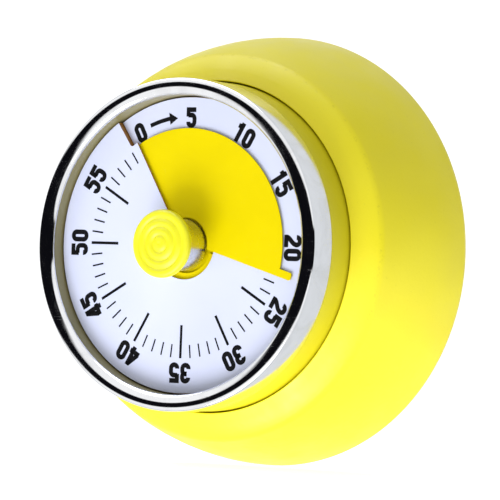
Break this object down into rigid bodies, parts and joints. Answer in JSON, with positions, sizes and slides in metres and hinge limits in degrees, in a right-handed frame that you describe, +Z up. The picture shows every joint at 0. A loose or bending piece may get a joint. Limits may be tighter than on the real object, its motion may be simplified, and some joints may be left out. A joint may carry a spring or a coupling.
{
  "type": "mechanical kitchen timer",
  "caption": "Round sixty-minute wind-up kitchen timer: flared yellow case, chrome bezel, white dial, coloured elapsed-time disc, ridged turning knob and magnetic back.",
  "frame": {"origin": "centre of the magnet's rear face, which is the plane that the timer sits on", "axes": "+Y from the dial into the wall behind the timer, +Z up, +X to the right as the dial is read"},
  "size_m": [0.08, 0.0415, 0.08],
  "materials": {
    "yellow_paint": "satin yellow enamel",
    "yellow_plastic": "smooth yellow plastic",
    "white_dial": "matt white printed sheet",
    "black_plastic": "moulded black plastic",
    "chrome": "bright chrome plating",
    "brass": "rolled brass",
    "steel": "zinc-plated steel",
    "magnet": "sintered ferrite",
    "rubber": "soft black rubber"
  },
  "bodies": {
    "housing": {"body_shell": "yellow_paint", "neck_sleeve": "yellow_paint", "bezel_ring": "chrome", "back_cover": "black_plastic", "magnet": "magnet", "magnet_keeper": "steel", "grip_ring": "rubber", "cover_screw_1": "steel", "cover_screw_2": "steel", "cover_screw_3": "steel", "dial_carrier": "yellow_plastic", "dial_seat": "yellow_plastic", "dial_plate": "white_dial", "front_plate": "brass", "rear_plate": "brass", "main_bush": "brass", "pillar_1": "brass", "pillar_2": "brass", "pillar_3": "brass", "pillar_4": "brass", "movement_screw_1": "steel", "movement_screw_2": "steel", "movement_screw_3": "steel", "mainspring": "steel", "spring_post": "steel", "hairspring_stud": "steel", "bell_dome": "steel", "bell_bridge": "steel", "bell_post": "brass", "bell_screw": "steel"},
    "spindle": {"main_arbor": "steel", "knob_stem": "chrome", "knob_cap": "yellow_plastic", "great_wheel": "brass", "ratchet_wheel": "steel", "click_pawl": "steel", "alarm_cam": "steel"},
    "disc": {"timer_disc": "yellow_plastic", "disc_hub": "yellow_plastic"},
    "second_arbor": {"second_pinion": "steel", "second_wheel": "brass"},
    "third_arbor": {"third_pinion": "steel", "third_wheel": "brass"},
    "escape_arbor": {"escape_pinion": "steel", "escape_wheel": "brass"},
    "balance": {"balance_staff": "steel", "balance_wheel": "brass", "hairspring": "steel"},
    "hammer": {"hammer_arbor": "steel", "hammer_lever": "steel", "hammer_head": "steel"}
  },
  "joints": [
    {"name": "knob_turn", "type": "hinge", "parent": "housing", "child": "spindle", "pos_m": [0, -0.02, 0], "axis": [0, 1, 0], "range_deg": [-132.9, 227.1]},
    {"name": "disc_rise", "type": "slide", "parent": "spindle", "child": "disc", "axis": [0, -1, 0], "range_m": [-0.00044, 0.00076]},
    {"name": "second_turn", "type": "hinge", "parent": "housing", "child": "second_arbor", "pos_m": [-0.0097, -0.02, 0.0056], "axis": [0, 1, 0], "range_deg": [-1362.6, 797.4]},
    {"name": "third_turn", "type": "hinge", "parent": "housing", "child": "third_arbor", "pos_m": [-0.01131, -0.02, -0.00353], "axis": [0, 1, 0], "range_deg": [-4485.38, 7664.62]},
    {"name": "escape_turn", "type": "hinge", "parent": "housing", "child": "escape_arbor", "pos_m": [-0.00711, -0.02, -0.01081], "axis": [0, 1, 0], "range_deg": [-38323.12, 22426.88]},
    {"name": "balance_swing", "type": "hinge", "parent": "housing", "child": "balance", "pos_m": [-0.00022, -0.02, -0.01202], "axis": [0, 1, 0], "range_deg": [-25, 25], "stiffness_Nm_per_rad": 0.00002},
    {"name": "hammer_strike", "type": "hinge", "parent": "housing", "child": "hammer", "pos_m": [0.01175, -0.02, 0.00428], "axis": [0, -1, 0], "range_deg": [0, 6], "stiffness_Nm_per_rad": 0.001}
  ],
  "couplings": [
    {"joint": "disc_rise", "follows": "knob_turn", "m_per_rad": 0.00019099},
    {"joint": "second_turn", "follows": "knob_turn", "ratio": -6},
    {"joint": "third_turn", "follows": "knob_turn", "ratio": 33.75},
    {"joint": "escape_turn", "follows": "knob_turn", "ratio": -168.75}
  ]
}
